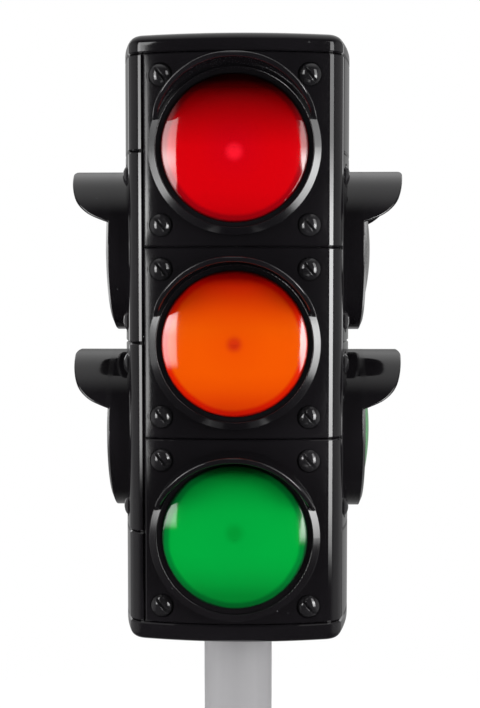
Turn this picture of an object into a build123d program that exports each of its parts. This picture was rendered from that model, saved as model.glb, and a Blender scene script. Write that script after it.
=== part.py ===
from build123d import *
import math
import os

os.makedirs("parts", exist_ok=True)

# ---------------------------------------------------------------------------
# Portable traffic light: four-sided signal head on a round pole and a wide base.
# Frame: origin at the centre of the footprint, on the floor; +Z up; the
# three-lamp front faces -Y, the rear faces +Y, the two-lamp sides face +X / -X.
# All lengths in millimetres.
# ---------------------------------------------------------------------------

# head, plan view
PITCH = 90.0          # lamp module pitch
HEAD_Z = 575.0        # height of the head's centre above the floor
FACE_N = 56.0         # head axis to the crown of each gently bowed face
FACE_R = 190.0        # plan radius of the bowed faces
CORNER_R = 9.0        # vertical corner radius
WALL = 2.4            # moulded wall
SEAM = 43.3           # lateral position of the vertical seams
GAP = 0.2             # half gap between neighbouring mouldings
EDGE_C = 0.7          # chamfer along moulding edges
TOP_CAP_H = 9.2       # visible height of the top cap
BOT_SEAM = -133.0     # seam over the bottom cap, from the head centre
BOT_CAP_H = 9.1       # visible height of the bottom cap
TOP_FILLET = 5.6
BOT_FILLET = 4.6

# lamp module, distances n are measured outwards from the head axis
COLLAR_R = 39.9
COLLAR_IN = 36.2
RIM_N = 62.9          # inner edge of the sloping rim face
RIM_OUT_N = 61.3      # its outer edge
RIM_ROUND = 0.35      # rounding of both rim edges
HOOD_SINK = 2.0       # how deep the visor starts in the collar
LIP_N = 60.3
LIP_R = 34.05
BORE_R = 37.6
BORE_N = 57.9
HOOD_IN = 37.5
LENS_R = 33.8
LENS_EDGE_N = 61.5
LENS_SAG = 5.3
LENS_T = 2.0
FLANGE_R = 37.4
SCREW_P = 34.7        # screws at +-SCREW_P round each lamp
SCREW_HEAD_R = 5.2
SEAT_N = 51.5
SHANK_R = 1.5
SCREW_TIP_N = 36.2
SLOT_ANGLE = -50.0

# core
CORE_H = 42.0         # half width of the square core tube
CORE_W = 2.4
CORE_Z = 131.0        # half length
POST = 10.2           # corner post
POST_IN = CORE_H - CORE_W - POST
PIN_P = 32.4          # vertical pins and screws in the corner posts
BOARD_N0, BOARD_N1 = 36.0, 37.6

# pole
POLE_R = 17.5
POLE_WALL = 1.6
POLE_FIT = 0.06       # radial running clearance in the sockets
POLE_TOP = -98.0      # pole end, from the head centre
POLE_FOOT = 12.1      # pole end, above the floor

# base
BASE_N = 118.0
BASE_R = 420.0
BASE_CORNER = 42.0
BASE_TOP = 34.0
BASE_WALL = 3.0
FOOT_H = 2.0
HUB_TOP = 72.0        # top of the pole socket
HUB_R = 24.0
FLANGE_OUT = 52.0     # flared foot of the pole socket
FLANGE_SCREW = 38.0   # pitch radius of its screws

# mode button
BTN_X, BTN_Y = -20.9, -42.0
BTN_R = 2.85
BTN_STAND = 1.5       # how far it stands out of the bottom cap
BTN_TRAVEL = 1.2

FACES = {"front": 0, "right": 90, "rear": 180, "left": 270}

count = 0


def save(shape, name):
    """Write one node."""
    global count
    solids = shape.solids() if hasattr(shape, "solids") else shape
    comp = solids[0] if len(solids) == 1 else Compound(children=list(solids))
    comp.label = name
    export_step(comp, f"parts/{name}.step")
    count += 1
    print(f"{name}: {len(solids)} solid(s), {sum(s.volume for s in solids):.0f} mm3")


def group(shapes):
    out = []
    for s in shapes:
        out += list(s.solids())
    return Compound(children=out)


def bowed(n, radius, corner):
    """Square plan with four bowed sides and rounded corners."""
    off = radius - n
    with BuildSketch() as sk:
        with Locations((0, off)):
            Circle(radius)
        for loc in ((0, -off), (off, 0), (-off, 0)):
            with Locations(loc):
                Circle(radius, mode=Mode.INTERSECT)
        fillet(sk.vertices(), corner)
    return sk.sketch


def prism(sketch, z0, z1):
    return extrude(Pos(0, 0, z0) * sketch, z1 - z0)


def block(x0, x1, y0, y1, z0, z1):
    return Pos((x0 + x1) / 2, (y0 + y1) / 2, (z0 + z1) / 2) * Box(x1 - x0, y1 - y0, z1 - z0)


def rod(x, y, z0, z1, r):
    return Pos(x, y, (z0 + z1) / 2) * Cylinder(r, z1 - z0)


def outward(shape, z=0.0):
    """Lamp coordinates (lateral x, up y, outwards z) to the front face."""
    return Pos(0, 0, z) * (Rot(90, 0, 0) * shape)


def place(shape, face):
    return Pos(0, 0, HEAD_Z) * (Rot(0, 0, FACES[face]) * shape)


def lathe(points, z_round=None):
    """Solid of revolution about Z from (r, n) points."""
    with BuildPart() as bp:
        with BuildSketch(Plane.XZ):
            with BuildLine():
                Polyline(*points, close=True)
            make_face()
        revolve(axis=Axis.Z)
    return bp.part


# ---------------------------------------------------------------------------
# Head shell: plan outlines
# ---------------------------------------------------------------------------
outer_plan = bowed(FACE_N, FACE_R, CORNER_R)
inner_plan = bowed(FACE_N - WALL, FACE_R - WALL, CORNER_R - WALL)


def shell_panel(z0, z1):
    """One wall panel: flat edge on its left, wrapped round its right corner."""
    body = prism(outer_plan, z0 + GAP, z1 - GAP)
    rims = body.edges().group_by(Axis.Z)
    body = chamfer(rims[0] + rims[-1], EDGE_C)
    body -= prism(inner_plan, z0 - 1, z1 + 1)
    body &= block(-SEAM + GAP, 80, -80, -SEAM - GAP, z0 - 1, z1 + 1)
    # bevel the two vertical edges
    edge = SEAM - GAP
    reach = FACE_N - (FACE_R - math.sqrt(FACE_R ** 2 - edge ** 2))
    bevel = Rot(0, 0, 45) * Box(4, 4, z1 - z0 + 4)
    push = (2 - EDGE_C / math.sqrt(2)) / math.sqrt(2)
    body -= Pos(-edge - push, -reach - push, (z0 + z1) / 2) * bevel
    edge = SEAM + GAP
    reach = FACE_N - (FACE_R - math.sqrt(FACE_R ** 2 - edge ** 2))
    body -= Pos(reach + push, -edge + push, (z0 + z1) / 2) * bevel
    return body


def hood_profile():
    """Side view of the visor, (up, outwards), as a face to push sideways."""
    pts = [(11.9, 56.0), (12.3, 60.8), (14.1, 66.0), (16.1, 70.5), (18.8, 74.3),
           (22.2, 77.3), (27.0, 79.5), (32.2, 80.9), (36.6, 81.8)]
    with BuildSketch(Plane.YZ) as sk:
        with BuildLine():
            Spline(*[(u, n) for u, n in pts])
            ThreePointArc((36.6, 81.8), (39.0, 81.5), (40.3, 79.6))
            Polyline((40.3, 79.6), (41.5, 79.0), (41.5, 56.0), (11.9, 56.0))
        make_face()
    return sk.sketch


def corner(p0, p1, p2, r):
    """Tangent points and mid point of a round of radius r at p1."""
    a = Vector(p0[0] - p1[0], p0[1] - p1[1]).normalized()
    b = Vector(p2[0] - p1[0], p2[1] - p1[1]).normalized()
    half = math.acos(max(-1, min(1, a.dot(b)))) / 2
    t = r / math.tan(half)
    mid = (a + b).normalized() * (r / math.sin(half) - r)
    c = Vector(p1[0], p1[1])
    return [((c + v).X, (c + v).Y) for v in (a * t, mid, b * t)]


def collar():
    """Lamp collar with its sloping rim and lens lip, one moulding."""
    wall_in, crest, edge, wall_out = (COLLAR_IN, LIP_N + 0.2), (COLLAR_IN, RIM_N), (COLLAR_R, RIM_OUT_N), (COLLAR_R, 49.0)
    i0, i1, i2 = corner(wall_in, crest, edge, RIM_ROUND)
    o0, o1, o2 = corner(crest, edge, wall_out, RIM_ROUND)
    with BuildPart() as bp:
        with BuildSketch(Plane.XZ):
            with BuildLine():
                Polyline(i0, wall_in, (LIP_R, LIP_N), (LIP_R, BORE_N), (BORE_R, BORE_N), (BORE_R, 49.0), wall_out, o2)
                ThreePointArc(o2, o1, o0)
                Line(o0, i2)
                ThreePointArc(i2, i1, i0)
            make_face()
        revolve(axis=Axis.Z)
    return bp.part


def hood():
    low = RIM_OUT_N - HOOD_SINK
    tube = lathe([(HOOD_IN, low), (COLLAR_R, low), (COLLAR_R, 90), (HOOD_IN, 90)])
    cut = extrude(hood_profile(), 60, both=True)
    h = tube & cut
    free = [e for e in h.edges() if e.center().Z > low + 1.0]
    keep = []
    for e in free:
        on_wall = all(abs(math.hypot(v.X, v.Y) - COLLAR_R) < 0.02 or abs(math.hypot(v.X, v.Y) - HOOD_IN) < 0.02
                      for v in (e @ 0.25, e @ 0.5, e @ 0.75))
        if on_wall and e.length > 1.0:
            keep.append(e)
    for r in (0.7, 0.5, 0.35):
        try:
            f = fillet(keep, r)
            if f.is_valid and abs(f.volume - h.volume) < 0.1 * h.volume:
                print("  visor edge radius", r)
                return f
        except Exception:
            continue
    print("  visor edge left sharp")
    return h


def lamp_features():
    """What is added to and cut from a wall panel for one lamp, in lamp coordinates."""
    add = collar() + hood()
    cut_bore = rod(0, 0, 30, BORE_N, BORE_R) + rod(0, 0, 30, 90, LIP_R)
    bosses = [rod(sx * SCREW_P, sy * SCREW_P, CORE_H + 0.1, SEAT_N, 6.7) for sx in (-1, 1) for sy in (-1, 1)]
    seats = [rod(sx * SCREW_P, sy * SCREW_P, SEAT_N, 60, 5.7) for sx in (-1, 1) for sy in (-1, 1)]
    holes = [rod(sx * SCREW_P, sy * SCREW_P, 30, 60, SHANK_R + 0.15) for sx in (-1, 1) for sy in (-1, 1)]
    return add, cut_bore, bosses, seats, holes


ADD, CUT_BORE, BOSSES, SEATS, HOLES = lamp_features()


def lamp_panel(zc):
    """Wall panel with collar, visor and screw bosses; front-face coordinates."""
    body = shell_panel(max(zc - PITCH / 2, BOT_SEAM), zc + PITCH / 2)
    body -= outward(CUT_BORE, zc)
    for b, s in zip(BOSSES, SEATS):
        bb = outward(b, zc)
        body += bb
        body -= outward(s, zc)
    body += outward(ADD, zc)
    for h in HOLES:
        body -= outward(h, zc)
    return body


# ---------------------------------------------------------------------------
# Lens, reflector, LED and screw in lamp coordinates
# ---------------------------------------------------------------------------
def lens():
    rs = (LENS_R ** 2 + LENS_SAG ** 2) / (2 * LENS_SAG)
    peak = LENS_EDGE_N + LENS_SAG
    c = peak - rs
    ri = rs - LENS_T
    r_in = LENS_R - LENS_T

    def on(radius, r):
        return (r, c + math.sqrt(radius ** 2 - r ** 2))

    edge_r = LENS_R - 0.8
    with BuildPart() as bp:
        with BuildSketch(Plane.XZ):
            with BuildLine():
                ThreePointArc(on(rs, 0), on(rs, edge_r / 2), on(rs, edge_r))
                p = on(rs, edge_r)
                ThreePointArc(p, (LENS_R - 0.2, p[1] - 0.28), (LENS_R, p[1] - 0.9))
                Polyline((LENS_R, p[1] - 0.9), (LENS_R, BORE_N - 0.05), (FLANGE_R, BORE_N - 0.05),
                         (FLANGE_R, BORE_N - 2.45), (r_in, BORE_N - 2.45), on(ri, r_in))
                ThreePointArc(on(ri, r_in), on(ri, r_in / 2), on(ri, 0))
                Line(on(ri, 0), on(rs, 0))
            make_face()
        revolve(axis=Axis.Z)
    return bp.part


def reflector():
    top = BORE_N - 2.5
    return lathe([(FLANGE_R - 0.1, top), (FLANGE_R - 0.1, top - 2.0), (34.6, top - 2.0), (8.0, BOARD_N1 + 0.05),
                  (3.0, BOARD_N1 + 0.05), (3.0, BOARD_N1 + 1.3), (7.4, BOARD_N1 + 1.3), (33.4, top - 1.2), (33.4, top)])


def led():
    with BuildPart() as bp:
        with BuildSketch(Plane.XZ):
            with BuildLine():
                Polyline((0, BOARD_N1), (2.85, BOARD_N1), (2.85, BOARD_N1 + 1.0), (2.5, BOARD_N1 + 1.0),
                         (2.5, BOARD_N1 + 6.0))
                dome = math.hypot(2.5, 0.5)
                ThreePointArc((2.5, BOARD_N1 + 6.0), (dome * math.cos(0.884), BOARD_N1 + 5.5 + dome * math.sin(0.884)),
                              (0, BOARD_N1 + 5.5 + dome))
                Line((0, BOARD_N1 + 5.5 + dome), (0, BOARD_N1))
            make_face()
        revolve(axis=Axis.Z)
    return bp.part


def domed_screw(head_r, head_h, seat, shank_r, tip, slot_w=1.15, slot_d=1.3, angle=0.0, soft=0.0):
    """Slotted screw with a domed head, head up along +Z, seat at height seat."""
    rim = min(0.9, 0.35 * head_h)
    with BuildPart() as bp:
        with BuildSketch(Plane.XZ):
            with BuildLine():
                Polyline((0, tip), (shank_r * 0.35, tip), (shank_r, tip + shank_r * 1.3), (shank_r, seat),
                         (head_r, seat), (head_r, seat + rim))
                ThreePointArc((head_r, seat + rim), (head_r * 0.62, seat + rim + (head_h - rim) * 0.72),
                              (0, seat + head_h))
                Line((0, seat + head_h), (0, tip))
            make_face()
        revolve(axis=Axis.Z)
    body = bp.part
    slot = Rot(0, 0, angle) * (Pos(0, 0, seat + head_h - slot_d + 3) * Box(4 * head_r, slot_w, 6))
    cut = body - slot
    if not soft:
        return cut
    floor_z = seat + head_h - slot_d
    across = Vector(-math.sin(math.radians(angle)), math.cos(math.radians(angle)), 0)
    lips = [e for e in cut.edges() if e.length > 0.5 and e.center().Z > floor_z + 0.2
            and e.geom_type != GeomType.LINE
            and all(abs(abs((e @ t).dot(across)) - slot_w / 2) < 0.01 for t in (0.1, 0.5, 0.9))]
    try:
        done = fillet(lips, soft)
        if done.is_valid and abs(done.volume - cut.volume) < 0.05 * cut.volume:
            print("  slot edge radius", soft, "on", len(lips), "edges")
            return done
    except Exception:
        pass
    print("  slot edges left sharp")
    return cut


LENS, REFLECTOR, LED = lens(), reflector(), led()
SCREW = domed_screw(SCREW_HEAD_R, 3.0, SEAT_N, SHANK_R, SCREW_TIP_N, angle=SLOT_ANGLE, soft=0.22)

front_rows = {"red": PITCH, "amber": 0.0, "green": -PITCH}
side_rows = {"upper": PITCH / 2, "lower": -PITCH / 2}

# ---------------------------------------------------------------------------
# Wall panels, lenses
# ---------------------------------------------------------------------------
for row, z in front_rows.items():
    p = lamp_panel(z)
    for face in ("front", "rear"):
        save(place(p, face), f"{face}_{row}_panel")
        save(place(outward(LENS, z), face), f"{face}_{row}_lens")
for row, z in side_rows.items():
    p = lamp_panel(z)
    for face in ("left", "right"):
        save(place(p, face), f"{face}_{row}_panel")
        save(place(outward(LENS, z), face), f"{face}_{row}_lens")
for row, z0, z1 in (("top", PITCH, 1.5 * PITCH), ("bottom", BOT_SEAM, -PITCH)):
    p = shell_panel(z0, z1)
    # two clip feet reach in to the core so that the short panel is located
    for x in (-24.0, 24.0):
        y_in = -(FACE_N - (FACE_R - math.sqrt(FACE_R ** 2 - x * x)) - WALL)
        p += block(x - 4, x + 4, y_in - 0.6, -CORE_H - 0.1, (z0 + z1) / 2 - 8, (z0 + z1) / 2 + 8)
    for face in ("left", "right"):
        save(place(p, face), f"{face}_{row}_blank_panel")

# ---------------------------------------------------------------------------
# Screws, reflectors, LEDs, boards
# ---------------------------------------------------------------------------
cups, boards = {}, {}
for face in FACES:
    rows = front_rows if face in ("front", "rear") else side_rows
    zs = list(rows.values())
    save(group([place(outward(Pos(sx * SCREW_P, sy * SCREW_P, 0) * SCREW, z), face)
                for z in zs for sx in (-1, 1) for sy in (-1, 1)]), f"{face}_panel_screws")
    cups[face] = [place(outward(REFLECTOR, z), face) for z in zs]
    half = 112.0 if len(zs) == 3 else 70.0
    fix = (PITCH / 2, -PITCH / 2) if len(zs) == 3 else (0.0,)
    board = block(-12, 12, -half, half, BOARD_N0, BOARD_N1)
    for z in fix:
        for x in (-8, 8):
            board -= rod(x, z, 30, 45, 1.2)
    boards[face] = place(outward(board), face)
save(group([c for face in FACES for c in cups[face]]), "lamp_reflectors")
save(group([boards["front"], boards["rear"]]), "three_lamp_boards")
save(group([boards["left"], boards["right"]]), "two_lamp_boards")

led_sets = {
    "red_leds": [("front", PITCH), ("rear", PITCH), ("left", PITCH / 2), ("right", PITCH / 2)],
    "amber_leds": [("front", 0.0), ("rear", 0.0)],
    "green_leds": [("front", -PITCH), ("rear", -PITCH), ("left", -PITCH / 2), ("right", -PITCH / 2)],
}
for name, spots in led_sets.items():
    save(group([place(outward(LED, z), face) for face, z in spots]), name)

# ---------------------------------------------------------------------------
# Core: square tube with corner posts, lamp holes and two shelves
# ---------------------------------------------------------------------------
SHELF_LOW = -92.0     # underside of the control board shelf
SHELF_TOP = 81.5      # underside of the battery shelf
SHELF_T = 2.4
CTRL_Z0 = -85.0
CTRL_T = 1.6

core = Box(2 * CORE_H, 2 * CORE_H, 2 * CORE_Z)
core = fillet(core.edges().filter_by(Axis.Z), 3.0)
core -= Box(2 * (CORE_H - CORE_W), 2 * (CORE_H - CORE_W), 2 * CORE_Z + 2)
for sx in (-1, 1):
    for sy in (-1, 1):
        a, b = POST_IN, CORE_H - CORE_W + 0.6
        core += block(min(sx * a, sx * b), max(sx * a, sx * b), min(sy * a, sy * b), max(sy * a, sy * b),
                      -CORE_Z, CORE_Z)
core += block(-34, 34, -34, 34, SHELF_LOW, SHELF_LOW + SHELF_T)
core += block(-34, 34, -34, 34, SHELF_TOP, SHELF_TOP + SHELF_T)
for sx in (-1, 1):
    for sy in (-1, 1):
        core += rod(sx * 23, sy * 23, SHELF_LOW + SHELF_T, CTRL_Z0, 3.0)
        core -= rod(sx * 23, sy * 23, CTRL_Z0 - 5, CTRL_Z0 + 1, 1.0)
        core -= rod(sx * PIN_P, sy * PIN_P, -CORE_Z - 1, -CORE_Z + 11, 1.6)
        core -= rod(sx * PIN_P, sy * PIN_P, CORE_Z - 9, CORE_Z + 1, 2.05)
for face in FACES:
    rows = front_rows if face in ("front", "rear") else side_rows
    zs = list(rows.values())
    turn = Rot(0, 0, FACES[face])
    fix = (PITCH / 2, -PITCH / 2) if len(zs) == 3 else (0.0,)
    for z in fix:
        for x in (-8, 8):
            core += turn * outward(rod(x, z, BOARD_N1, CORE_H - 1.0, 3.0))
            core -= turn * outward(rod(x, z, BOARD_N1 - 1, CORE_H - 0.6, 1.0))
    for z in zs:
        core -= turn * outward(rod(0, z, CORE_H - CORE_W - 0.5, CORE_H + 2, 24.0))
        for sx in (-1, 1):
            for sy in (-1, 1):
                core -= turn * outward(rod(sx * SCREW_P, z + sy * SCREW_P, SCREW_TIP_N - 0.5, CORE_H + 2,
                                           SHANK_R + 0.05))
# wire passages through the shelves
for x, y in ((24.5, 8), (24.5, -8)):
    core -= rod(x, y, SHELF_TOP - 1, SHELF_TOP + SHELF_T + 1, 2.0)
core -= rod(-16, -30.6, SHELF_LOW - 1, SHELF_LOW + SHELF_T + 1, 2.2)
save(Pos(0, 0, HEAD_Z) * core, "head_core")

# ---------------------------------------------------------------------------
# Caps
# ---------------------------------------------------------------------------
HALF = 1.5 * PITCH
TOP = HALF + TOP_CAP_H
BOT = BOT_SEAM - BOT_CAP_H
DOOR = 21.0           # half opening of the battery door

top = prism(outer_plan, HALF + GAP, TOP)
top = fillet(top.edges().group_by(Axis.Z)[-1], TOP_FILLET)
top = chamfer(top.edges().group_by(Axis.Z)[0], EDGE_C)
hollow = prism(inner_plan, HALF - 1, TOP - 2.5)
hollow = fillet(hollow.edges().group_by(Axis.Z)[-1], TOP_FILLET - 2.4)
top -= hollow
top -= block(-DOOR, DOOR, -DOOR, DOOR, TOP - 3, TOP + 1)
frame_z = TOP - 2.5
DOOR_SCREW_Y = 18.2
top += block(-25, 25, -25, 25, frame_z - 2.3, frame_z) - block(-16.2, 16.2, -16.2, 16.2, frame_z - 4, frame_z + 1)
top -= rod(0, DOOR_SCREW_Y, frame_z - 3, frame_z + 1, 1.15)
for sx in (-1, 1):
    for sy in (-1, 1):
        top += rod(sx * PIN_P, sy * PIN_P, CORE_Z + 0.1, frame_z + 0.5, 4.0)
        top += rod(sx * PIN_P, sy * PIN_P, CORE_Z - 8.0, CORE_Z + 0.5, 2.0)
save(Pos(0, 0, HEAD_Z) * top, "top_cap")

door = block(-DOOR + 0.25, DOOR - 0.25, -DOOR + 0.25, DOOR - 0.25, frame_z + 0.05, TOP)
door = fillet(door.edges().filter_by(Axis.Z), 1.5)
door = chamfer(door.edges().group_by(Axis.Z)[-1], 0.5)
door += block(-15.9, 15.9, -15.9, 15.9, frame_z - 2.4, frame_z + 0.5)
for i in range(5):
    door -= block(-9, 9, -13.0 + i * 2.6, -11.8 + i * 2.6, TOP - 0.6, TOP + 1)
door -= rod(0, DOOR_SCREW_Y, frame_z - 3, TOP + 1, 1.3)
door -= rod(0, DOOR_SCREW_Y, TOP - 1.5, TOP + 1, 2.35)
door = Compound(children=[max(door.solids(), key=lambda s: s.volume)])
save(Pos(0, 0, HEAD_Z) * door, "battery_door")
door_screw = domed_screw(2.2, 1.3, TOP - 1.5, 1.1, TOP - 4.6, slot_w=0.6, slot_d=0.6)
save(Pos(0, DOOR_SCREW_Y, HEAD_Z) * door_screw, "battery_door_screw")

bot = prism(outer_plan, BOT, BOT_SEAM - GAP)
bot = fillet(bot.edges().group_by(Axis.Z)[0], BOT_FILLET)
bot = chamfer(bot.edges().group_by(Axis.Z)[-1], EDGE_C)
hollow = prism(inner_plan, BOT + 2.4, BOT_SEAM + 1)
hollow = fillet(hollow.edges().group_by(Axis.Z)[0], BOT_FILLET - 2.4)
bot -= hollow
SOCKET_R = POLE_R + POLE_FIT
bot += rod(0, 0, BOT + 0.1, POLE_TOP + 2.1, SOCKET_R + 2.8)
bot += lathe([(0, BOT + 1), (30, BOT + 1), (30, BOT + 2.6), (24, BOT + 4.2), (0, BOT + 4.2)])
bot -= rod(0, 0, BOT - 1, POLE_TOP + 0.1, SOCKET_R)
for sx in (-1, 1):
    for sy in (-1, 1):
        bot += rod(sx * PIN_P, sy * PIN_P, BOT + 1, -CORE_Z - 0.1, 5.2)
        bot -= rod(sx * PIN_P, sy * PIN_P, BOT - 1, BOT + 3.0, 3.4)
        bot -= rod(sx * PIN_P, sy * PIN_P, BOT - 1, -CORE_Z + 1, 1.7)
BTN_FLOOR = BOT + 2.4
SW_Z1 = -133.4        # underside of the switch board
for x in (-31.5, -10.3):
    bot += rod(x, BTN_Y, BOT + 1, SW_Z1, 2.4)
    bot -= rod(x, BTN_Y, SW_Z1 - 4.5, SW_Z1 + 1, 0.95)
bot -= rod(BTN_X, BTN_Y, BOT - 1, BOT + 4, BTN_R + 0.08)
save(Pos(0, 0, HEAD_Z) * bot, "bottom_cap")

cap_screw = Rot(180, 0, 0) * domed_screw(3.0, 1.9, 0.0, 1.5, -16.5, slot_w=0.8, slot_d=0.9, angle=40)
save(group([Pos(sx * PIN_P, sy * PIN_P, HEAD_Z + BOT + 3.0) * cap_screw for sx in (-1, 1) for sy in (-1, 1)]),
     "bottom_cap_screws")

# ---------------------------------------------------------------------------
# Mode button, its switch and small board
# ---------------------------------------------------------------------------
btn = rod(BTN_X, BTN_Y, BOT - BTN_STAND, BTN_FLOOR + 0.3, BTN_R)
btn = fillet(btn.edges().group_by(Axis.Z)[0], 0.9)
btn += rod(BTN_X, BTN_Y, BTN_FLOOR + 0.05, BTN_FLOOR + 0.85, 3.9)
save(Pos(0, 0, HEAD_Z) * btn, "mode_button")
PL_Z0 = BTN_FLOOR + 0.85
plunger = rod(BTN_X, BTN_Y, PL_Z0, PL_Z0 + 3.2, 1.6)
save(Pos(0, 0, HEAD_Z) * plunger, "switch_plunger")
SW_Z0 = PL_Z0 + BTN_TRAVEL + 0.25
switch = block(BTN_X - 3.1, BTN_X + 3.1, BTN_Y - 3.1, BTN_Y + 3.1, SW_Z0, SW_Z1)
switch -= rod(BTN_X, BTN_Y, SW_Z0 - 1, PL_Z0 + 3.2 + BTN_TRAVEL + 0.1, 1.66)
save(Pos(0, 0, HEAD_Z) * switch, "mode_switch")
sw_board = block(-34.3, -7.5, -48.2, -35.0, SW_Z1, SW_Z1 + 1.2)
for x in (-31.5, -10.3):
    sw_board -= rod(x, BTN_Y, SW_Z1 - 1, SW_Z1 + 2, 1.1)
sw_board -= rod(-PIN_P, -PIN_P, SW_Z1 - 1, SW_Z1 + 2, 5.5)
save(Pos(0, 0, HEAD_Z) * sw_board, "switch_board")

# ---------------------------------------------------------------------------
# Small board screws: LED boards, control board, switch board
# ---------------------------------------------------------------------------
small = []
for face in FACES:
    fix = (PITCH / 2, -PITCH / 2) if face in ("front", "rear") else (0.0,)
    scr = Rot(180, 0, 0) * domed_screw(1.9, 1.2, 0, 0.9, -4.6, slot_w=0.5, slot_d=0.5)
    for z in fix:
        for x in (-8, 8):
            small.append(place(outward(Pos(x, z, BOARD_N0) * scr), face))
for sx in (-1, 1):
    for sy in (-1, 1):
        small.append(Pos(sx * 23, sy * 23, HEAD_Z + CTRL_Z0 + CTRL_T) *
                     domed_screw(1.9, 1.2, 0, 0.9, -5.4, slot_w=0.5, slot_d=0.5))
for x in (-31.5, -10.3):
    small.append(Pos(x, BTN_Y, HEAD_Z + SW_Z1 + 1.2) *
                 domed_screw(1.7, 0.9, 0, 0.85, -5.0, slot_w=0.5, slot_d=0.4))
save(group(small), "board_screws")

# ---------------------------------------------------------------------------
# Control board and what is soldered on it
# ---------------------------------------------------------------------------
ctrl = block(-27, 27, -27, 27, CTRL_Z0, CTRL_Z0 + CTRL_T)
for sx in (-1, 1):
    for sy in (-1, 1):
        ctrl -= rod(sx * 23, sy * 23, CTRL_Z0 - 1, CTRL_Z0 + 3, 1.1)
save(Pos(0, 0, HEAD_Z) * ctrl, "control_board")
cz = CTRL_Z0 + CTRL_T
parts_on = [block(-8, 8, -5, 5, cz, cz + 2.2), rod(-14, 13, cz, cz + 11, 4.0), rod(-3, 14.5, cz, cz + 9, 3.2),
            block(8, 16, 11, 16, cz, cz + 4.5), block(-20, -13, -8, 4, cz, cz + 1.6)]
save(Pos(0, 0, HEAD_Z) * group(parts_on), "board_components")

# ---------------------------------------------------------------------------
# Batteries
# ---------------------------------------------------------------------------
CELL_R, CELL_L, CELL_P = 7.2, 49.2, 7.7
HOLD_Z0 = SHELF_TOP + SHELF_T
HOLD_Z1 = frame_z - 2.45
CELL_TOP = frame_z - 3.0
holder = block(-17.5, 17.5, -17.5, 17.5, HOLD_Z0, HOLD_Z1)
holder = fillet(holder.edges().filter_by(Axis.Z), 2.0)
holder -= block(-15.9, 15.9, -15.9, 15.9, HOLD_Z0 + 1.6, HOLD_Z1 + 1)
save(Pos(0, 0, HEAD_Z) * holder, "battery_holder")
cells = []
for i, (sx, sy) in enumerate(((-1, -1), (1, -1), (1, 1), (-1, 1))):
    x, y = sx * CELL_P, sy * CELL_P
    body = rod(x, y, CELL_TOP - 1.0 - CELL_L, CELL_TOP - 1.0, CELL_R)
    body = fillet(body.edges(), 0.8)
    body += rod(x, y, CELL_TOP - 1.5, CELL_TOP, 2.6)
    cells.append(body)
save(Pos(0, 0, HEAD_Z) * group(cells), "battery_cells")
contacts = []
CELL_BOT = CELL_TOP - 1.0 - CELL_L
for sx, sy in ((-1, -1), (1, -1), (1, 1), (-1, 1)):
    x, y = sx * CELL_P, sy * CELL_P
    z0 = HOLD_Z0 + 1.6
    # bowed leaf under each cell
    leaf = block(x - 5.5, x + 5.5, y - 4, y + 4, z0, z0 + 0.4)
    leaf += rod(x, y, z0 + 0.2, CELL_BOT, 1.6)
    contacts.append(leaf)
for sx in (-1, 1):
    contacts.append(block(sx * CELL_P - 3.4, sx * CELL_P + 3.4, -11, 11, CELL_TOP, CELL_TOP + 0.5))
save(Pos(0, 0, HEAD_Z) * group(contacts), "battery_contacts")


# ---------------------------------------------------------------------------
# Internal leads, held between the boards all the way
# ---------------------------------------------------------------------------
def wire(points, radius, r=0.75):
    path = FilletPolyline(*points, radius=radius)
    sect = Plane(origin=points[0], z_dir=path % 0) * Circle(r)
    w = sweep(sect, path=path)
    want = math.pi * r * r * path.length
    print(f"  lead: length {path.length:.1f}, volume ratio {w.volume / want:.3f}")
    return w


leads = []
for y in (-8, 8):
    leads.append(wire([(17.5, y, 92), (24.5, y, 92), (24.5, y, cz)], 5.0))
for face in FACES:
    w = wire([(6, -BOARD_N0, -58), (6, -22, -58), (6, -22, cz)], 6.0)
    leads.append(Rot(0, 0, FACES[face]) * w)
sw_lead = wire([(-16, -36.6, SW_Z1 + 1.2), (-16, -36.6, -118), (-16, -30.6, -108), (-16, -30.6, -72),
                (-16, -21.5, -72), (-16, -21.5, cz)], [6, 8, 4, 4])
leads.append(sw_lead)
save(Pos(0, 0, HEAD_Z) * group(leads), "internal_leads")

# ---------------------------------------------------------------------------
# Pole
# ---------------------------------------------------------------------------
pole_top = HEAD_Z + POLE_TOP
pole = rod(0, 0, POLE_FOOT, pole_top, POLE_R) - rod(0, 0, POLE_FOOT - 1, pole_top + 1, POLE_R - POLE_WALL)
ends = [e for e in pole.edges().filter_by(GeomType.CIRCLE) if abs(e.radius - POLE_R) < 0.01]
pole = chamfer(ends, 0.5)
LOCK_Z = 56.0
pole -= Pos(0, 0, LOCK_Z) * (Rot(-90, 0, 0) * rod(0, 0, 5, 30, 2.05))
save(pole, "pole")

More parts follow.
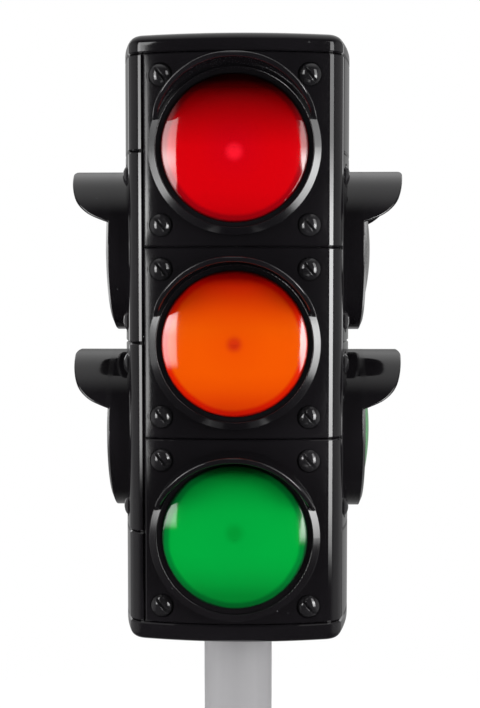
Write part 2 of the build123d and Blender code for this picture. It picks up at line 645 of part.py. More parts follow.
# ---------------------------------------------------------------------------
# Base
# ---------------------------------------------------------------------------
plan = bowed(BASE_N, BASE_R, BASE_CORNER)
plan_in = bowed(BASE_N - BASE_WALL, BASE_R - BASE_WALL, BASE_CORNER - BASE_WALL)
plan_plate = bowed(BASE_N - BASE_WALL - 0.25, BASE_R - BASE_WALL - 0.25, BASE_CORNER - BASE_WALL - 0.25)
shell = prism(plan, FOOT_H, BASE_TOP)
shell = fillet(shell.edges().group_by(Axis.Z)[-1], 13.0)
cavity = prism(plan_in, FOOT_H - 1, BASE_TOP - BASE_WALL)
cavity = fillet(cavity.edges().group_by(Axis.Z)[-1], 10.0)
shell -= cavity
shell -= rod(0, 0, 0, BASE_TOP + 1, HUB_R + 0.2)
PLATE_SCREW = 96.0
for a in (0, 90, 180, 270):
    x, y = PLATE_SCREW * math.cos(math.radians(a)), PLATE_SCREW * math.sin(math.radians(a))
    shell += rod(x, y, FOOT_H + 3.1, BASE_TOP - 1.5, 5.0)
    shell -= rod(x, y, FOOT_H, FOOT_H + 15, 1.55)
    xr, yr = 62 * math.cos(math.radians(a + 45)), 62 * math.sin(math.radians(a + 45))
    shell += rod(xr, yr, 15.2, BASE_TOP - 1.5, 4.0)
    xs, ys = FLANGE_SCREW * math.cos(math.radians(a + 45)), FLANGE_SCREW * math.sin(math.radians(a + 45))
    shell -= rod(xs, ys, FOOT_H, BASE_TOP + 1, 1.7)
save(shell, "base_shell")

# flared socket that carries the pole, screwed on from inside the base
with BuildPart() as hub:
    with BuildSketch(Plane.XZ):
        with BuildLine():
            Polyline((0, 9.0), (HUB_R, 9.0), (HUB_R, BASE_TOP), (FLANGE_OUT, BASE_TOP), (FLANGE_OUT, BASE_TOP + 1.0))
            ThreePointArc((FLANGE_OUT, BASE_TOP + 1.0), (FLANGE_OUT - 0.25, BASE_TOP + 1.6), (FLANGE_OUT - 0.9, BASE_TOP + 1.9))
            ThreePointArc((FLANGE_OUT - 0.9, BASE_TOP + 1.9), (34.8, BASE_TOP + 8.2), (26.5, BASE_TOP + 22.0))
            Polyline((26.5, BASE_TOP + 22.0), (HUB_R, HUB_TOP - 1.5))
            ThreePointArc((HUB_R, HUB_TOP - 1.5), (HUB_R - 0.44, HUB_TOP - 0.44), (HUB_R - 1.5, HUB_TOP))
            Polyline((HUB_R - 1.5, HUB_TOP), (0, HUB_TOP), (0, 9.0))
        make_face()
    revolve(axis=Axis.Z)
socket = hub.part
socket -= rod(0, 0, POLE_FOOT - 0.1, HUB_TOP + 1, SOCKET_R)
socket -= Pos(0, 0, LOCK_Z) * (Rot(-90, 0, 0) * rod(0, 0, 10, 60, 2.05))
socket -= Pos(0, 0, LOCK_Z) * (Rot(-90, 0, 0) * rod(0, 0, HUB_R + 0.6, 60, 4.6))
socket_screws = []
for a in (45, 135, 225, 315):
    xs, ys = FLANGE_SCREW * math.cos(math.radians(a)), FLANGE_SCREW * math.sin(math.radians(a))
    socket -= rod(xs, ys, BASE_TOP - 1, BASE_TOP + 4.3, 1.55)
    socket_screws.append(Pos(xs, ys, BASE_TOP - BASE_WALL) * (Rot(180, 0, 0) * domed_screw(
        3.0, 1.8, 0, 1.5, -6.8, slot_w=0.8, slot_d=0.8)))
save(socket, "pole_socket")
save(group(socket_screws), "socket_screws")

lock = Pos(0, 0, LOCK_Z) * (Rot(-90, 0, 0) * domed_screw(4.2, 2.4, HUB_R + 0.6, 2.0, 13.0, slot_w=1.0, slot_d=1.1))
save(lock, "pole_screw")

plate = prism(plan_plate, FOOT_H, FOOT_H + 3.0)
for a in (0, 90, 180, 270):
    x, y = PLATE_SCREW * math.cos(math.radians(a)), PLATE_SCREW * math.sin(math.radians(a))
    plate -= rod(x, y, FOOT_H - 1, FOOT_H + 4, 1.8)
    plate -= rod(x, y, FOOT_H - 1, FOOT_H + 1.4, 3.4)
for sx in (-1, 1):
    for sy in (-1, 1):
        plate -= rod(sx * 80, sy * 80, FOOT_H - 1, FOOT_H + 0.6, 13.1)
save(plate, "base_plate")
plate_screw = Rot(180, 0, 0) * domed_screw(3.1, 1.3, 0, 1.5, -13.0, slot_w=0.8, slot_d=0.7)
save(group([Pos(PLATE_SCREW * math.cos(math.radians(a)), PLATE_SCREW * math.sin(math.radians(a)), FOOT_H + 1.4) *
            plate_screw for a in (0, 90, 180, 270)]), "base_plate_screws")
weight = rod(0, 0, FOOT_H + 3.1, 15.1, 88.0) - rod(0, 0, 0, 20, 30.0)
weight = fillet(weight.edges(), 1.0)
save(weight, "base_weight")
foot = rod(0, 0, 0, FOOT_H + 0.6, 13.0)
foot = fillet(foot.edges().group_by(Axis.Z)[0], 0.8)
save(group([Pos(sx * 80, sy * 80, 0) * foot for sx in (-1, 1) for sy in (-1, 1)]), "rubber_feet")

print("nodes:", count)
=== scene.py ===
import math

import bmesh
import bpy
from mathutils import Matrix, Vector


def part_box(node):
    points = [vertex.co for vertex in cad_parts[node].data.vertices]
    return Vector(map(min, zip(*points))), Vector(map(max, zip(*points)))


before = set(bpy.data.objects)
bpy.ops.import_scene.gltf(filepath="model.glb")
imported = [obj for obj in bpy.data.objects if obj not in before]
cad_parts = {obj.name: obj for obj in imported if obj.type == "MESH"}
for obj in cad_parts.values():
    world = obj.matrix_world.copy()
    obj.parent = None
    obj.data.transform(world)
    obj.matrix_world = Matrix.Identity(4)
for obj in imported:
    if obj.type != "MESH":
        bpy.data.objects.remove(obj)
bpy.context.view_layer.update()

# ---------------------------------------------------------------------------
# Places, all read from the frame
# ---------------------------------------------------------------------------
def mid(node):
    lo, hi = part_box(node)
    return (lo + hi) / 2


top_lo, top_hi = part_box("top_cap")
bot_lo, bot_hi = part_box("bottom_cap")
HEAD_Z = mid("front_amber_panel").z
FRONT_Z = {r: mid(f"front_{r}_lens").z for r in ("red", "amber", "green")}
SIDE_Z = {r: mid(f"left_{r}_lens").z for r in ("upper", "lower")}
LENS_R = 0.0338

# ---------------------------------------------------------------------------
# Node helpers
# ---------------------------------------------------------------------------
def new_mat(name):
    m = bpy.data.materials.new(name)
    m.use_nodes = True
    nt = m.node_tree
    for n in list(nt.nodes):
        nt.nodes.remove(n)
    out = nt.nodes.new("ShaderNodeOutputMaterial")
    bsdf = nt.nodes.new("ShaderNodeBsdfPrincipled")
    nt.links.new(bsdf.outputs["BSDF"], out.inputs["Surface"])
    return m, nt, bsdf


def node(nt, kind, **props):
    n = nt.nodes.new(kind)
    for k, v in props.items():
        setattr(n, k, v)
    return n


def coords(nt, offset=(0, 0, 0), scale=(1, 1, 1)):
    tc = node(nt, "ShaderNodeTexCoord")
    mp = node(nt, "ShaderNodeMapping")
    mp.inputs["Location"].default_value = offset
    mp.inputs["Scale"].default_value = scale
    nt.links.new(tc.outputs["Object"], mp.inputs["Vector"])
    return mp.outputs["Vector"]


def noise(nt, vec, scale, detail=2.0, rough=0.5):
    n = node(nt, "ShaderNodeTexNoise")
    n.inputs["Scale"].default_value = scale
    n.inputs["Detail"].default_value = detail
    n.inputs["Roughness"].default_value = rough
    nt.links.new(vec, n.inputs["Vector"])
    return n.outputs["Fac"]


def remap(nt, val, a, b, c, d, clamp=True, smooth=False):
    n = node(nt, "ShaderNodeMapRange")
    n.clamp = clamp
    if smooth:
        n.interpolation_type = "SMOOTHSTEP"
    for k, v in zip(("From Min", "From Max", "To Min", "To Max"), (a, b, c, d)):
        n.inputs[k].default_value = v
    nt.links.new(val, n.inputs["Value"])
    return n.outputs["Result"]


def math_node(nt, op, a, b=None, c=None):
    n = node(nt, "ShaderNodeMath", operation=op)
    for i, v in enumerate((a, b, c)):
        if v is None:
            continue
        if isinstance(v, (int, float)):
            n.inputs[i].default_value = v
        else:
            nt.links.new(v, n.inputs[i])
    return n.outputs[0]


def ramp(nt, val, stops):
    n = node(nt, "ShaderNodeValToRGB")
    cr = n.color_ramp
    while len(cr.elements) > 1:
        cr.elements.remove(cr.elements[-1])
    cr.elements[0].position, cr.elements[0].color = stops[0][0], (*stops[0][1], 1)
    for p, c in stops[1:]:
        e = cr.elements.new(p)
        e.color = (*c, 1)
    nt.links.new(val, n.inputs["Fac"])
    return n.outputs["Color"]


def bump(nt, height, strength, distance, normal=None):
    n = node(nt, "ShaderNodeBump")
    n.inputs["Strength"].default_value = strength
    n.inputs["Distance"].default_value = distance
    nt.links.new(height, n.inputs["Height"])
    if normal is not None:
        nt.links.new(normal, n.inputs["Normal"])
    return n.outputs["Normal"]


# ---------------------------------------------------------------------------
# Materials
# ---------------------------------------------------------------------------
def gloss_plastic(name, color=(0.0047, 0.0042, 0.0050), rough=0.07, wave=0.25, seed=0.0, lamp=None):
    """Polished black moulding. With a lamp (centre, face), its worn rim face is a little duller."""
    m, nt, b = new_mat(name)
    vec = coords(nt, (seed, seed * 1.7, seed * 0.6))
    cloud = noise(nt, vec, 22.0, 3.0, 0.55)
    fine = noise(nt, vec, 900.0, 2.0, 0.6)
    col = ramp(nt, cloud, [(0.3, tuple(c * 0.8 for c in color)), (0.7, tuple(c * 1.25 for c in color))])
    # faint dust, small pale specks a fraction of a millimetre across
    vor = node(nt, "ShaderNodeTexVoronoi")
    vor.inputs["Scale"].default_value = 210.0
    nt.links.new(vec, vor.inputs["Vector"])
    speck = remap(nt, vor.outputs["Distance"], 0.035, 0.075, 1.0, 0.0)
    some = remap(nt, noise(nt, vec, 60.0, 2.0, 0.6), 0.60, 0.72, 0.0, 1.0)
    dust = math_node(nt, "MULTIPLY", speck, some)
    mix = node(nt, "ShaderNodeMix", data_type="RGBA")
    nt.links.new(math_node(nt, "MULTIPLY", dust, 0.35), mix.inputs["Factor"])
    nt.links.new(col, mix.inputs["A"])
    mix.inputs["B"].default_value = (0.25, 0.25, 0.26, 1)
    nt.links.new(mix.outputs["Result"], b.inputs["Base Color"])
    base_r = remap(nt, cloud, 0.3, 0.75, rough * 0.75, rough * 1.5)
    fr = remap(nt, fine, 0.35, 0.75, 0.0, rough * 0.25)
    r = math_node(nt, "ADD", math_node(nt, "ADD", base_r, fr), math_node(nt, "MULTIPLY", dust, 0.4))
    if lamp is not None:
        rad, _ = radial(nt, *lamp)
        sep = node(nt, "ShaderNodeSeparateXYZ")
        nt.links.new(vec_world(nt), sep.inputs[0])
        out = math_node(nt, "ABSOLUTE", sep.outputs["Y" if lamp[1] in ("front", "rear") else "X"])
        near = remap(nt, rad, 1.30, 1.34, 1.0, 0.0)
        face_on = remap(nt, out, 0.0603, 0.0611, 0.0, 1.0)
        below = remap(nt, out, 0.0632, 0.0638, 1.0, 0.0)
        rim = math_node(nt, "MULTIPLY", math_node(nt, "MULTIPLY", near, face_on), below)
        r = math_node(nt, "ADD", r, math_node(nt, "MULTIPLY", rim, 0.09))
    nt.links.new(r, b.inputs["Roughness"])
    b.inputs["IOR"].default_value = 1.5
    b.inputs["Specular IOR Level"].default_value = 0.5
    n1 = bump(nt, noise(nt, vec, 38.0, 1.0, 0.4), wave, 0.0004)
    n2 = bump(nt, fine, 0.05, 0.00004, n1)
    nt.links.new(n2, b.inputs["Normal"])
    return m


def vec_world(nt):
    return node(nt, "ShaderNodeTexCoord").outputs["Object"]


def radial(nt, centre, face):
    """Distance from the lamp axis in lens radii, and height above the axis in lens radii."""
    tc = node(nt, "ShaderNodeTexCoord")
    sub = node(nt, "ShaderNodeVectorMath", operation="SUBTRACT")
    nt.links.new(tc.outputs["Object"], sub.inputs[0])
    sub.inputs[1].default_value = centre
    sep = node(nt, "ShaderNodeSeparateXYZ")
    nt.links.new(sub.outputs["Vector"], sep.inputs["Vector"])
    side = sep.outputs["X"] if face in ("front", "rear") else sep.outputs["Y"]
    z = sep.outputs["Z"]
    rr = math_node(nt, "SQRT", math_node(nt, "ADD", math_node(nt, "POWER", side, 2.0), math_node(nt, "POWER", z, 2.0)))
    return math_node(nt, "DIVIDE", rr, LENS_R), math_node(nt, "DIVIDE", z, LENS_R)


def lens_mat(name, centre, face, edge, ring, body, core, spot, spot_r=0.10, rough=0.05, shade=None, warm=None,
             painted_glow=0.0, spot_dz=0.0):
    """Coloured translucent lens: even body, a ring of another colour at its edge (darker on the coloured lenses:
    partly the deeper colour of the thick edge, partly painted shade from the rim), a soft spot in front of the LED (a
    painted highlight of the lit LED on the red lens, the darker LED seen through on the amber and green lenses), and
    painted shade that darkens the colour towards the top, where the visor keeps the light off, and a little towards
    the bottom."""
    m, nt, b = new_mat(name)
    r, up = radial(nt, centre, face)
    r_spot, _ = radial(nt, Vector(centre) + Vector((0, 0, spot_dz)), face)
    vec = coords(nt)
    mott = noise(nt, vec, 42.0, 3.0, 0.55)
    wob = math_node(nt, "ADD", r, remap(nt, mott, 0.3, 0.7, -0.012, 0.012))
    # colour by distance from the axis; on the coloured lenses the ring and edge are darker, partly the deeper colour
    # of the thick plastic and partly painted shade from the rim and the gap around the lens
    base = ramp(nt, wob, [(0.0, core), (0.5, body), (0.885, body), (0.93, ring), (0.965, ring), (0.99, edge)])
    # spot in front of the LED: on the red lens, whose LED is lit, a painted highlight; on the amber and green lenses
    # the darker LED seen through the plastic
    led = node(nt, "ShaderNodeMix", data_type="RGBA")
    nt.links.new(remap(nt, r_spot, spot_r * 0.4, spot_r * 1.6, 1.0, 0.0, smooth=True), led.inputs["Factor"])
    nt.links.new(base, led.inputs["A"])
    led.inputs["B"].default_value = (*spot, 1)
    col = led.outputs["Result"]
    # slow cloudiness of the moulding
    cloud = remap(nt, noise(nt, vec, 24.0, 2.0, 0.5), 0.3, 0.7, 0.0, 1.0)
    var = node(nt, "ShaderNodeMix", data_type="RGBA", blend_type="MULTIPLY")
    nt.links.new(math_node(nt, "MULTIPLY", cloud, 0.10), var.inputs["Factor"])
    nt.links.new(col, var.inputs["A"])
    var.inputs["B"].default_value = (0.85, 0.6, 0.6, 1) if warm is None else (*warm, 1)
    # painted shade: the colour darkens and deepens towards the top, where the visor keeps the light off, and a little
    # towards the bottom
    lift = math_node(nt, "ADD", up, remap(nt, mott, 0.3, 0.7, -0.012, 0.012))
    painted_shade_mix = node(nt, "ShaderNodeMix", data_type="RGBA", blend_type="MULTIPLY")
    painted_shade_mix.inputs["Factor"].default_value = 1.0
    nt.links.new(var.outputs["Result"], painted_shade_mix.inputs["A"])
    nt.links.new(ramp(nt, math_node(nt, "MULTIPLY_ADD", lift, 0.5, 0.5), [((p + 1) / 2, c) for p, c in shade]),
                 painted_shade_mix.inputs["B"])
    nt.links.new(painted_shade_mix.outputs["Result"], b.inputs["Base Color"])
    rf = remap(nt, noise(nt, vec, 30.0, 2.0, 0.5), 0.3, 0.7, rough * 0.7, rough * 1.5)
    nt.links.new(rf, b.inputs["Roughness"])
    b.inputs["IOR"].default_value = 1.5
    # a faint painted glow: emission in the lens's own shaded colour, standing in for light scattered inside the lens
    nt.links.new(painted_shade_mix.outputs["Result"], b.inputs["Emission Color"])
    b.inputs["Emission Strength"].default_value = painted_glow
    n1 = bump(nt, noise(nt, vec, 26.0, 1.0, 0.4), 0.10, 0.0004)
    nt.links.new(n1, b.inputs["Normal"])
    return m


def satin(name, color, rough, grain=400.0, stretch=(1, 1, 1), bump_s=0.15, var=0.08):
    m, nt, b = new_mat(name)
    vec = coords(nt, scale=stretch)
    g = noise(nt, vec, grain, 3.0, 0.6)
    c = noise(nt, vec, 18.0, 3.0, 0.5)
    both = math_node(nt, "ADD", math_node(nt, "MULTIPLY", g, 0.4), math_node(nt, "MULTIPLY", c, 0.6))
    col = ramp(nt, both, [(0.3, tuple(x * (1 - var) for x in color)), (0.7, tuple(min(1, x * (1 + var)) for x in color))])
    nt.links.new(col, b.inputs["Base Color"])
    nt.links.new(remap(nt, both, 0.3, 0.7, rough * 0.85, min(1, rough * 1.15)), b.inputs["Roughness"])
    nt.links.new(bump(nt, g, bump_s, 0.0001), b.inputs["Normal"])
    return m


def metal(name, color, rough, stretch=(1, 1, 1)):
    m, nt, b = new_mat(name)
    vec = coords(nt, scale=stretch)
    g = noise(nt, vec, 700.0, 3.0, 0.65)
    nt.links.new(ramp(nt, g, [(0.3, tuple(x * 0.8 for x in color)), (0.7, color)]), b.inputs["Base Color"])
    b.inputs["Metallic"].default_value = 1.0
    nt.links.new(remap(nt, g, 0.3, 0.7, rough * 0.8, rough * 1.3), b.inputs["Roughness"])
    nt.links.new(bump(nt, g, 0.2, 0.00006), b.inputs["Normal"])
    return m


def assign(name, mat):
    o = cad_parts[name]
    o.data.materials.clear()
    o.data.materials.append(mat)
    for p in o.data.polygons:
        p.material_index = 0


black = gloss_plastic("shell_gloss_black", rough=0.06)
black_cap = gloss_plastic("cap_gloss_black", rough=0.07, seed=3.0)
black_base = gloss_plastic("base_gloss_black", rough=0.10, wave=0.35, seed=7.0)
screw_black = gloss_plastic("screw_gloss_black", color=(0.010, 0.0095, 0.0105), rough=0.09, wave=0.1, seed=11.0)
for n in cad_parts:
    if n.endswith("_panel"):
        lens = n[:-len("panel")] + "lens"
        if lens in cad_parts:
            assign(n, gloss_plastic(f"{n}_gloss_black", rough=0.06, lamp=(mid(lens), n.split("_")[0])))
        else:
            assign(n, black)
    elif n in ("top_cap", "bottom_cap", "battery_door"):
        assign(n, black_cap)
    elif n in ("base_shell", "base_plate", "pole_socket"):
        assign(n, black_base)
    elif n.endswith("panel_screws"):
        assign(n, screw_black)

def grey(*stops):
    return [(p, (v, v, v)) for p, v in stops]


# painted shade: colour multipliers against height on the lens, from its bottom (-1) to its top (1), darkest under the
# visor
RED_SHADE = grey((-1.0, 0.8), (-0.8, 0.93), (-0.6, 1.0), (0.0, 1.0), (0.2, 0.82), (0.35, 0.68), (0.5, 0.53), (0.6, 0.42),
                 (0.7, 0.27), (0.8, 0.10), (0.9, 0.02))
AMBER_SHADE = [(-1.0, (0.7, 0.4, 1)), (-0.8, (0.86, 0.56, 1)), (-0.6, (0.95, 0.86, 1)), (-0.4, (1, 1, 1)), (0.0, (1, 1, 1)),
               (0.2, (0.97, 1, 1)), (0.35, (0.93, 0.83, 1)), (0.5, (0.86, 0.61, 1)), (0.6, (0.80, 0.46, 1)),
               (0.7, (0.77, 0.31, 1)), (0.8, (0.72, 0.18, 1)), (0.9, (0.40, 0.045, 1)), (1.0, (0.22, 0.012, 1))]
GREEN_SHADE = grey((-1.0, 0.48), (-0.8, 0.56), (-0.6, 0.79), (-0.4, 0.94), (-0.2, 1.0), (0.35, 1.0), (0.5, 0.95),
                   (0.6, 0.90), (0.7, 0.84), (0.8, 0.68), (0.9, 0.28), (1.0, 0.04))
CLEAR_SHADE = grey((-1.0, 1.0), (0.0, 1.0), (0.5, 0.8), (0.9, 0.3))
# the red spot colour is a painted highlight of the lit LED
RED = dict(edge=(0.07, 0.0, 0.001), ring=(0.20, 0.0, 0.002), body=(0.365, 0.0, 0.0017), core=(0.335, 0.0, 0.003),
           spot=(0.54, 0.005, 0.014), spot_r=0.10, shade=RED_SHADE, painted_glow=0.08)
AMBER = dict(edge=(0.20, 0.002, 0.0), ring=(0.42, 0.010, 0.0), body=(0.480, 0.053, 0.0), core=(0.455, 0.045, 0.0),
             spot=(0.36, 0.018, 0.002), spot_r=0.095, shade=AMBER_SHADE, warm=(0.95, 0.62, 1.0), painted_glow=0.08)
GREEN = dict(edge=(0.003, 0.04, 0.012), ring=(0.0, 0.125, 0.018), body=(0.0, 0.222, 0.0255), core=(0.0, 0.210, 0.0245),
             spot=(0.0, 0.173, 0.018), spot_r=0.11, shade=GREEN_SHADE, warm=(0.8, 0.85, 0.9), painted_glow=0.08)
CLEAR = dict(edge=(0.42, 0.40, 0.37), ring=(0.22, 0.21, 0.20), body=(0.055, 0.053, 0.052), core=(0.05, 0.048, 0.047),
             spot=(0.10, 0.09, 0.09), spot_r=0.07, shade=CLEAR_SHADE)
LAMPS = {"red": RED, "amber": AMBER, "green": GREEN}
for face in ("front", "rear"):
    for row, cols in LAMPS.items():
        n = f"{face}_{row}_lens"
        assign(n, lens_mat(f"{n}_plastic", mid(n), face, spot_dz={"red": -0.0024, "green": 0.003}.get(row, 0.0), **cols))
for face in ("left", "right"):
    n = f"{face}_lower_lens"
    assign(n, lens_mat(f"{n}_plastic", mid(n), face, **GREEN))
    n = f"{face}_upper_lens"
    assign(n, lens_mat(f"{n}_plastic", mid(n), face, **CLEAR))

assign("pole", satin("pole_grey_satin", (0.252, 0.248, 0.255), 0.33, grain=260.0, stretch=(1, 1, 0.03), bump_s=0.12, var=0.04))
pole_bsdf = next(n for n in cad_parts["pole"].data.materials[0].node_tree.nodes if n.type == "BSDF_PRINCIPLED")
pole_bsdf.inputs["Sheen Weight"].default_value = 0.22
pole_bsdf.inputs["Sheen Roughness"].default_value = 0.25
assign("rubber_feet", satin("foot_rubber_matte", (0.02, 0.02, 0.02), 0.85, grain=900.0, bump_s=0.4))
assign("mode_button", satin("button_satin_black", (0.012, 0.012, 0.013), 0.35, grain=800.0))
reflector_m = satin("reflector_white", (0.78, 0.78, 0.76), 0.3, grain=300.0, bump_s=0.05)
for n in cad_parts:
    if n.endswith("reflectors"):
        assign(n, reflector_m)
core_m = satin("core_satin", (0.03, 0.03, 0.032), 0.5)
for n in ("head_core", "battery_holder"):
    assign(n, core_m)
pcb = satin("board_green", (0.015, 0.11, 0.045), 0.35, grain=120.0, var=0.25)
for n in ("three_lamp_boards", "two_lamp_boards", "control_board", "switch_board"):
    assign(n, pcb)
comp = satin("component_black", (0.02, 0.02, 0.02), 0.45)
for n in ("board_components", "mode_switch", "switch_plunger"):
    assign(n, comp)
assign("red_leds", satin("led_red_epoxy", (0.7, 0.05, 0.05), 0.15))
assign("amber_leds", satin("led_amber_epoxy", (0.8, 0.3, 0.03), 0.15))
assign("green_leds", satin("led_green_epoxy", (0.05, 0.5, 0.15), 0.15))
assign("internal_leads", satin("lead_insulation_red", (0.45, 0.015, 0.015), 0.5))
assign("battery_cells", satin("cell_wrap", (0.10, 0.11, 0.13), 0.35))
steel = metal("plain_steel", (0.58, 0.58, 0.6), 0.28)
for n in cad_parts:
    if n in ("bottom_cap_screws", "battery_door_screw", "board_screws", "base_plate_screws", "pole_screw",
             "socket_screws", "battery_contacts"):
        assign(n, steel)
assign("base_weight", satin("cast_iron_plain", (0.07, 0.07, 0.07), 0.8, grain=500.0, bump_s=0.6))

# ---------------------------------------------------------------------------
# Camera
# ---------------------------------------------------------------------------
cam_data = bpy.data.cameras.new("camera")
cam = bpy.data.objects.new("camera", cam_data)
bpy.context.scene.collection.objects.link(cam)
F_PX = 1168.7
YAW, PITCH_DOWN, ROLL = 0.0252, 0.0529, 0.0
cam_data.sensor_width = 36.0
cam_data.lens = 36.0 * F_PX / 708.0
cam.location = (0.0161, -0.5999, HEAD_Z + 0.0240)
fwd = Vector((-math.sin(YAW) * math.cos(PITCH_DOWN), math.cos(YAW) * math.cos(PITCH_DOWN), -math.sin(PITCH_DOWN)))
cam.rotation_mode = "QUATERNION"
cam.rotation_quaternion = fwd.to_track_quat("-Z", "Y")
cam_data.clip_start = 0.01
cam_data.clip_end = 50
bpy.context.scene.camera = cam

# ---------------------------------------------------------------------------
# Floor, world and lights
# ---------------------------------------------------------------------------
bm = bmesh.new()
bmesh.ops.create_circle(bm, cap_ends=True, radius=1.5, segments=96)
me = bpy.data.meshes.new("floor")
bm.to_mesh(me)
bm.free()
floor = bpy.data.objects.new("floor", me)
bpy.context.scene.collection.objects.link(floor)
floor.visible_glossy = False
fm = bpy.data.materials.new("floor_pale")
fm.use_nodes = True
nt = fm.node_tree
for n in list(nt.nodes):
    nt.nodes.remove(n)
out = node(nt, "ShaderNodeOutputMaterial")
dif = node(nt, "ShaderNodeBsdfDiffuse")
dif.inputs["Color"].default_value = (0.86, 0.86, 0.86, 1)
emi = node(nt, "ShaderNodeEmission")
emi.inputs["Color"].default_value = (1, 1, 1, 1)
add = node(nt, "ShaderNodeAddShader")
tra = node(nt, "ShaderNodeBsdfTransparent")
mixs = node(nt, "ShaderNodeMixShader")
tc = node(nt, "ShaderNodeTexCoord")
ln = node(nt, "ShaderNodeVectorMath", operation="LENGTH")
nt.links.new(tc.outputs["Object"], ln.inputs[0])
nt.links.new(remap(nt, ln.outputs["Value"], 0.15, 0.75, 0.42, 1.0, smooth=True), emi.inputs["Strength"])
nt.links.new(remap(nt, ln.outputs["Value"], 0.70, 1.25, 0.0, 1.0, smooth=True), mixs.inputs["Fac"])
nt.links.new(dif.outputs[0], add.inputs[0])
nt.links.new(emi.outputs[0], add.inputs[1])
nt.links.new(add.outputs[0], mixs.inputs[1])
nt.links.new(tra.outputs[0], mixs.inputs[2])
nt.links.new(mixs.outputs[0], out.inputs["Surface"])
me.materials.append(fm)

world = bpy.data.worlds.new("studio")
bpy.context.scene.world = world
world.use_nodes = True
nt = world.node_tree
for n in list(nt.nodes):
    nt.nodes.remove(n)
wo = node(nt, "ShaderNodeOutputWorld")
bg_cam = node(nt, "ShaderNodeBackground")
bg_cam.inputs["Color"].default_value = (1, 1, 1, 1)
bg_cam.inputs["Strength"].default_value = 1.0
bg_env = node(nt, "ShaderNodeBackground")
tc = node(nt, "ShaderNodeTexCoord")
sep = node(nt, "ShaderNodeSeparateXYZ")
nt.links.new(tc.outputs["Generated"], sep.inputs[0])
lean = math_node(nt, "MULTIPLY_ADD", sep.outputs["Y"], 0.35, sep.outputs["Z"])
ceil = remap(nt, lean, 0.58, 1.06, 0.0, 0.85, smooth=True)
flank = remap(nt, math_node(nt, "ABSOLUTE", sep.outputs["X"]), 0.62, 0.96, 0.0, 0.42, smooth=True)
back = remap(nt, sep.outputs["Y"], 0.15, 0.95, 0.0, 0.30, smooth=True)
lvl = math_node(nt, "ADD", math_node(nt, "ADD", math_node(nt, "ADD", ceil, flank), back), 0.022)
nt.links.new(lvl, bg_env.inputs["Strength"])
bg_env.inputs["Color"].default_value = (1, 1, 1, 1)
lp = node(nt, "ShaderNodeLightPath")
mx = node(nt, "ShaderNodeMixShader")
nt.links.new(lp.outputs["Is Camera Ray"], mx.inputs["Fac"])
nt.links.new(bg_env.outputs[0], mx.inputs[1])
nt.links.new(bg_cam.outputs[0], mx.inputs[2])
nt.links.new(mx.outputs[0], wo.inputs["Surface"])


def softbox(name, azimuth, distance, z, w, h, power, el=0.0):
    """Area light aimed at the head. Azimuth 0 is in front (-Y), positive to the right (+X)."""
    d = bpy.data.lights.new(name, "AREA")
    d.shape = "RECTANGLE"
    d.size, d.size_y = w, h
    d.energy = power
    o = bpy.data.objects.new(name, d)
    bpy.context.scene.collection.objects.link(o)
    a = math.radians(azimuth)
    o.location = (math.sin(a) * distance, -math.cos(a) * distance, z)
    o.rotation_mode = "QUATERNION"
    o.rotation_quaternion = (Vector((0, 0, HEAD_Z)) - Vector(o.location)).to_track_quat("-Z", "Y")
    o.visible_camera = False
    return o


STRIP_L, STRIP_R = 10.0, 11.0


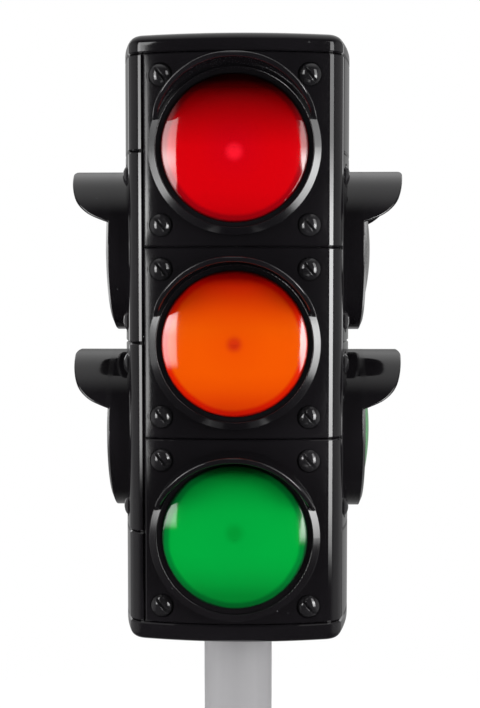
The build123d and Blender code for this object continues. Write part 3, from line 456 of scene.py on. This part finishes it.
def strip(name, inner, outer, z0, z1, profile, level, edge=0.8):
    """Tall strip light between two plan points. The profile gives its brightness against height in metres."""
    (x0, y0), (x1, y1) = inner, outer
    w, h = math.hypot(x1 - x0, y1 - y0), z1 - z0
    d = bpy.data.lights.new(name, "AREA")
    d.shape = "RECTANGLE"
    d.size, d.size_y = w, h
    d.energy = level * math.pi * w * h
    d.use_nodes = True
    t = d.node_tree
    em = next(n for n in t.nodes if n.type == "EMISSION")
    geo = node(t, "ShaderNodeNewGeometry")
    sp = node(t, "ShaderNodeSeparateXYZ")
    t.links.new(geo.outputs["Position"], sp.inputs[0])
    fall = ramp(t, remap(t, sp.outputs["Z"], 0.30, 1.15, 0.0, 1.0), [((z - 0.30) / 0.85, (v, v, v)) for z, v in profile])
    along = node(t, "ShaderNodeVectorMath", operation="DISTANCE")
    flat = node(t, "ShaderNodeCombineXYZ")
    t.links.new(sp.outputs["X"], flat.inputs["X"])
    t.links.new(sp.outputs["Y"], flat.inputs["Y"])
    t.links.new(flat.outputs["Vector"], along.inputs[0])
    along.inputs[1].default_value = (x0, y0, 0)
    side = remap(t, along.outputs["Value"], 0.0, w * 0.40, edge, 1.5, smooth=True)
    t.links.new(math_node(t, "MULTIPLY", fall, side), em.inputs["Strength"])
    o = bpy.data.objects.new(name, d)
    bpy.context.scene.collection.objects.link(o)
    cx, cy = (x0 + x1) / 2, (y0 + y1) / 2
    o.location = (cx, cy, (z0 + z1) / 2)
    o.rotation_mode = "QUATERNION"
    # horizontal, facing the head's axis
    nrm = Vector((y1 - y0, -(x1 - x0), 0)).normalized()
    if nrm.dot(Vector((-cx, -cy, 0))) < 0:
        nrm.negate()
    o.rotation_quaternion = nrm.to_track_quat("-Z", "Y")
    o.visible_camera = False
    return o


LEFT_PROFILE = [(0.415, 0.02), (0.44, 0.36), (0.46, 0.52), (0.54, 0.62), (0.595, 0.64), (0.62, 0.80), (0.645, 0.95),
                (0.68, 1.0), (0.71, 0.80), (0.74, 0.58), (0.80, 0.48), (1.10, 0.40)]
RIGHT_PROFILE = [(0.335, 0.03), (0.36, 0.30), (0.386, 0.50), (0.42, 0.60), (0.463, 0.72), (0.541, 0.90), (0.593, 0.98),
                 (0.645, 1.0), (0.68, 0.92), (0.71, 0.58), (0.74, 0.30), (1.10, 0.25)]
strip("strip_left", (-0.335, -0.545), (-0.47, -0.41), 0.41, 1.15, LEFT_PROFILE, STRIP_L, edge=1.1)
strip("strip_right", (0.343, -0.539), (0.50, -0.39), 0.325, 1.15, RIGHT_PROFILE, STRIP_R, edge=1.8)
strip("strip_rear_left", (-0.36, 0.60), (-0.50, 0.46), 0.41, 1.15, LEFT_PROFILE, 1.3)
strip("strip_rear_right", (0.36, 0.60), (0.50, 0.46), 0.41, 1.15, LEFT_PROFILE, 1.3)
top = softbox("top_soft", 0, 0.05, 2.2, 1.4, 1.4, 10)
top.visible_glossy = False
for side in (-1, 1):
    fill = softbox("pole_fill", side * 78, 1.1, 0.35, 0.8, 0.8, 8.0 if side < 0 else 2.5)
    fill.visible_glossy = False


vs = bpy.context.scene.view_settings
vs.view_transform = "Standard"
vs.look = "None"
vs.exposure = 0.0
vs.gamma = 1.0
